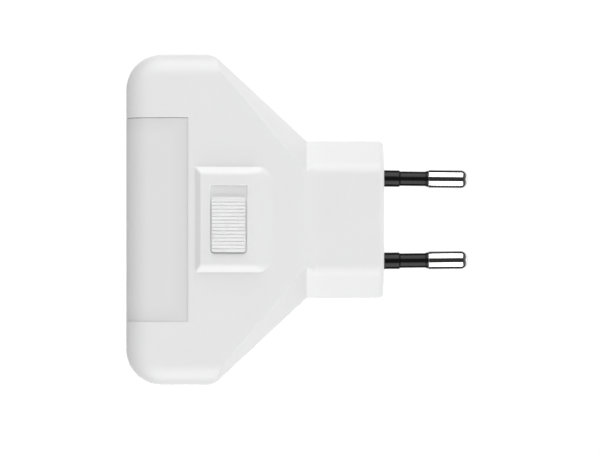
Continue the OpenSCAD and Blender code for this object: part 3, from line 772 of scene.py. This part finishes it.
def moulded(name, colour, rough=0.42, spread=0.012, grain=5200, depth=0.0000015, sss=0.0, sss_scale=0.0008, coat=0.0):
    """moulded plastic: fine spark-eroded grain, faint flow clouds, roughness that follows both"""
    t = Tree(name)
    cloud = t.noise(55, 4, 0.55)
    speck = t.noise(900, 2, 0.6)
    both = t.math("ADD", t.math("MULTIPLY", cloud, 0.75), t.math("MULTIPLY", speck, 0.25))
    t.colours(both, [(0.3, scaled(colour, 1 - spread)), (0.7, scaled(colour, 1 + spread))])
    t.rough(t.to_range(t.math("ADD", t.math("MULTIPLY", cloud, 0.5), t.math("MULTIPLY", t.noise(grain * 0.5, 2), 0.5)), rough - 0.05, rough + 0.06))
    t.bump(t.noise(grain, 3, 0.6), 0.35, depth)
    t.bump(t.noise(140, 2, 0.5), 0.25, 0.00001)
    t.set(IOR=1.53, Coat_Weight=coat)
    if sss:
        t.bsdf.subsurface_method = "RANDOM_WALK"
        t.set(Subsurface_Weight=sss, Subsurface_Scale=sss_scale)
        t.bsdf.inputs["Subsurface Radius"].default_value = (1.0, 1.0, 1.0)
    return t


def metal(name, colour, rough=0.15, stretch=(1, 1, 1), scale=3000, spread=0.03, aniso=0.0):
    t = Tree(name)
    lines_ = t.noise(scale, 2, 0.6, stretch)
    stain = t.noise(260, 3, 0.5)
    t.colours(stain, [(0.3, scaled(colour, 1 - spread)), (0.7, scaled(colour, 1 + spread))])
    t.rough(t.to_range(lines_, rough - 0.03, rough + 0.05))
    t.bump(lines_, 0.15, 0.0000006)
    t.set(Metallic=1.0, Anisotropic=aniso)
    return t


WHITE = (0.83, 0.83, 0.832)
mats = {}
mats["housing"] = moulded("satin_white_abs", WHITE, sss=0.12)
mats["knob"] = moulded("satin_white_abs_knob", WHITE, rough=0.38, grain=7000, sss=0.12)

t = moulded("opal_polycarbonate", (0.787, 0.787, 0.79), rough=0.4, spread=0.006, grain=6500, depth=0.0000012, sss=0.35, sss_scale=0.0016)
mats["diffuser"] = t
# painted shade: the panel's base colour is multiplied down to 0.95 at its seams, rising to full over the last 4 mm, for
# the shade its flange casts where it runs under the shells
X, Y, Z = t.axes()
away_z = t.math("SUBTRACT", 0.02256, t.math("ABSOLUTE", Z))
away_x = t.math("SUBTRACT", -0.04364, X)
away = t.math("MINIMUM", away_z, away_x)
# painted shade mask: 0.95 at the seams, 1.0 from 4 mm inwards
painted_seam_shade = t.to_range(away, 0.95, 1.0, 0.0, 0.004)
mix = t.nodes.new("ShaderNodeMix")
mix.data_type = "RGBA"
mix.blend_type = "MULTIPLY"
mix.inputs[0].default_value = 1.0
ramp_out = [l.from_socket for l in t.links if l.to_socket == t.bsdf.inputs["Base Color"]][0]
# grey of the painted shade, multiplied into the panel's base colour
painted_shade_grey = t.nodes.new("ShaderNodeCombineColor")
for ch in ("Red", "Green", "Blue"):
    t.link(painted_seam_shade, painted_shade_grey.inputs[ch])
t.link(ramp_out, mix.inputs[6])
t.link(painted_shade_grey.outputs["Color"], mix.inputs[7])
t.link(mix.outputs[2], t.bsdf.inputs["Base Color"])

mats["pin_metal"] = metal("bright_nickel", (0.86, 0.86, 0.85), rough=0.1, stretch=(1, 0.06, 0.06), scale=9000)
mats["pin_metal"].set(Specular_Tint=(0.18, 0.18, 0.18))
mats["pin_sleeve"] = sleeve = moulded("glossy_black_sleeve", (0.006, 0.006, 0.006), rough=0.2, spread=0.1, grain=2600, depth=0.000002)
sleeve.set(Specular_IOR_Level=0.22)
mats["carrier"] = moulded("dark_grey_pbt", (0.035, 0.035, 0.04), rough=0.5, spread=0.08)
mats["black_plastic"] = moulded("black_moulding_compound", (0.012, 0.012, 0.013), rough=0.45, spread=0.12)
mats["contact_metal"] = metal("tinned_bronze", (0.72, 0.62, 0.42), rough=0.22, stretch=(0.1, 1, 1), scale=4000, spread=0.06)
mats["switch_steel"] = metal("zinc_plated_steel", (0.62, 0.62, 0.63), rough=0.3, scale=1500, spread=0.08)
mats["screw_steel"] = metal("screw_zinc", (0.6, 0.6, 0.6), rough=0.26, scale=2500, spread=0.08)
mats["laminate"] = moulded("brown_laminate", (0.13, 0.06, 0.03), rough=0.5, spread=0.2)
mats["capacitor_box"] = moulded("yellow_film_box", (0.68, 0.48, 0.05), rough=0.3, spread=0.05)
mats["capacitor_can"] = moulded("dark_shrink_sleeve", (0.012, 0.014, 0.03), rough=0.25, spread=0.15, grain=900, depth=0.000006)
mats["fuse_coating"] = moulded("green_flameproof", (0.1, 0.2, 0.08), rough=0.55, spread=0.15, grain=1800, depth=0.000008)
mats["resistor_coating"] = moulded("tan_lacquer", (0.48, 0.34, 0.18), rough=0.35, spread=0.1, grain=1500, depth=0.000006)
mats["led_board"] = moulded("white_solder_mask", (0.78, 0.78, 0.75), rough=0.35, spread=0.03, grain=1200, depth=0.000004)
mats["led_body"] = moulded("led_cup", (0.8, 0.78, 0.66), rough=0.3, spread=0.04)
mats["reflector"] = moulded("white_reflector_tray", (0.85, 0.85, 0.85), rough=0.4, spread=0.01)
mats["wire_brown"] = moulded("brown_pvc", (0.07, 0.025, 0.01), rough=0.35, spread=0.1, grain=2200, depth=0.000003)
mats["wire_blue"] = moulded("blue_pvc", (0.01, 0.05, 0.25), rough=0.35, spread=0.1, grain=2200, depth=0.000003)
mats["wire_red"] = moulded("red_pvc", (0.35, 0.012, 0.012), rough=0.35, spread=0.1, grain=2200, depth=0.000003)

t = moulded("paper_laminate_board", (0.5, 0.33, 0.15), rough=0.5, spread=0.06, grain=1600, depth=0.000004)
fibre = t.noise(1200, 4, 0.7, (1, 1, 0.12))
t.colours(fibre, [(0.3, (0.42, 0.27, 0.12)), (0.7, (0.56, 0.38, 0.18))])
mats["board"] = t

SLOT_OF = {s["node"]: s["material_slot"] for s in frame["record"]["subparts"]}


def dress(obj, slot, body):
    obj.data.materials.clear()
    obj.data.materials.append(mats[slot].mat)
    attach(obj, body)


REPLACED = {
    "housing_switch_side": ("switch_side_shell", "housing"),
    "housing_plain_side": ("plain_side_shell", "housing"),
    "opal_diffuser": ("diffuser", "housing"),
    "slide_knob": ("switch_knob", "slider"),
    "cover_screws": ("housing_screws", "housing"),
    "upper_contact_pin": ("upper_pin", "housing"),
    "lower_contact_pin": ("lower_pin", "housing"),
    "upper_black_sleeve": ("upper_pin_sleeve", "housing"),
    "lower_black_sleeve": ("lower_pin_sleeve", "housing"),
}
for name, (node, body) in REPLACED.items():
    dress(pieces[name], SLOT_OF[node], body)
    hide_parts(node)
for node, obj in frame["nodes"].items():
    if node in SLOT_OF:
        for i in range(max(1, len(obj.material_slots))):
            if len(obj.material_slots) == 0:
                obj.data.materials.append(mats[SLOT_OF[node]].mat)
            else:
                obj.material_slots[i].material = mats[SLOT_OF[node]].mat

# ---------------------------------------------------------------- camera, light, floor

scene = bpy.context.scene
scene.view_settings.view_transform = "Standard"
scene.view_settings.look = "None"
scene.view_settings.exposure = 0.0
scene.view_settings.gamma = 1.0

cam_data = bpy.data.cameras.new("camera")
cam_data.sensor_width = 36.0
cam_data.lens = 140.76
cam_data.clip_start, cam_data.clip_end = 0.01, 50.0
cam = bpy.data.objects.new("camera", cam_data)
scene.collection.objects.link(cam)
cam.location = (-18.75 * MM, -0.530, -1.215 * MM)
cam.rotation_euler = (math.radians(90), 0, 0)
scene.camera = cam

world = bpy.data.worlds.new("studio")
scene.world = world
world.use_nodes = True
wn, wl = world.node_tree.nodes, world.node_tree.links
wn.clear()
w_out = wn.new("ShaderNodeOutputWorld")
w_bg = wn.new("ShaderNodeBackground")
w_bg.inputs["Color"].default_value = (1, 1, 1, 1)
wl.new(w_bg.outputs["Background"], w_out.inputs["Surface"])


def wmath(op, a, b=None, c=None, clamp=False):
    n = wn.new("ShaderNodeMath")
    n.operation = op
    n.use_clamp = clamp
    for i, v in enumerate((a, b, c)):
        if v is None:
            continue
        if isinstance(v, (int, float)):
            n.inputs[i].default_value = v
        else:
            wl.new(v, n.inputs[i])
    return n.outputs["Value"]


def wstep(v, a, b):
    n = wn.new("ShaderNodeMapRange")
    n.interpolation_type = "SMOOTHSTEP"
    n.inputs["From Min"].default_value, n.inputs["From Max"].default_value = a, b
    wl.new(v, n.inputs["Value"])
    return n.outputs["Result"]


# Studio light as a function of direction. Two long soft boxes run above and below the part, parallel to the pins,
# a dimmer sheet stands behind it, cards close both ends, and the camera's side stays dark.
coord = wn.new("ShaderNodeTexCoord")
sep = wn.new("ShaderNodeSeparateXYZ")
wl.new(coord.outputs["Generated"], sep.inputs["Vector"])
dx, dy, dz = sep.outputs["X"], sep.outputs["Y"], sep.outputs["Z"]
turn = wmath("MULTIPLY", wmath("ARCTAN2", wmath("ABSOLUTE", dz), wmath("MULTIPLY", dy, -1.0)), 180 / math.pi)
up = wstep(dz, -0.02, 0.02)


def sheet(value, a, b, soft):
    """1 between a and b, with soft ends"""
    rise = wstep(value, a - soft, a + soft)
    fall = wmath("SUBTRACT", 1.0, wstep(value, b - soft, b + soft))
    return wmath("MULTIPLY", rise, fall)


L_TOP, L_BOTTOM, L_BACK, L_RIGHT, L_LEFT, L_ROOM = 3.04, 3.02, 1.4, 0.79, 0.19, 0.03
top = wmath("MULTIPLY", sheet(turn, 31.0, 91.1, 7.0), L_TOP)
bottom = wmath("MULTIPLY", sheet(turn, 33.0, 91.5, 7.0), L_BOTTOM)
boxes = wmath("ADD", wmath("MULTIPLY", up, top), wmath("MULTIPLY", wmath("SUBTRACT", 1.0, up), bottom))
ends = wmath("MULTIPLY", wstep(dx, -0.70, -0.50), wmath("SUBTRACT", 1.0, wstep(dx, 0.30, 0.62)))
boxes = wmath("MULTIPLY", boxes, wmath("MULTIPLY", ends, wmath("MULTIPLY_ADD", dx, 0.739, 1.0)))
behind = wmath("MULTIPLY", wstep(turn, 134.0, 150.0), wmath("MULTIPLY_ADD", wstep(dx, -0.50, -0.15), 0.55, 0.45))
light = wmath("ADD", boxes, wmath("MULTIPLY", behind, L_BACK))
path = wn.new("ShaderNodeLightPath")
# a flag keeps the card on the plug's side from mirroring in the pins
right = wmath("MULTIPLY", wstep(dx, 0.65, 0.85), wmath("MULTIPLY_ADD", path.outputs["Is Glossy Ray"], -0.9, 1.0))
light = wmath("ADD", light, wmath("MULTIPLY", right, L_RIGHT))
light = wmath("ADD", light, wmath("MULTIPLY", wmath("SUBTRACT", 1.0, wstep(dx, -0.85, -0.65)), L_LEFT))
light = wmath("ADD", light, L_ROOM)
seen = path.outputs["Is Camera Ray"]
strength = wmath("ADD", wmath("MULTIPLY", seen, 1.05), wmath("MULTIPLY", wmath("SUBTRACT", 1.0, seen), light))
wl.new(strength, w_bg.inputs["Strength"])

# pale floor, well below the part that hangs in its socket
floor_z = -0.085
bm = bmesh.new()
bmesh.ops.create_grid(bm, x_segments=8, y_segments=8, size=6.0)
floor_mesh = bpy.data.meshes.new("floor")
bm.to_mesh(floor_mesh)
bm.free()
floor = bpy.data.objects.new("floor", floor_mesh)
floor.location = (0, 0, floor_z)
scene.collection.objects.link(floor)
ft = Tree("pale_paper")
ft.colours(ft.noise(3.0, 2), [(0.3, (0.98, 0.98, 0.98)), (0.7, (1.0, 1.0, 1.0))])
ft.set(Roughness=0.9, Specular_IOR_Level=0.0)
floor.data.materials.append(ft.mat)
floor.visible_diffuse = False
floor.visible_glossy = False
floor.visible_shadow = False
floor.visible_transmission = False
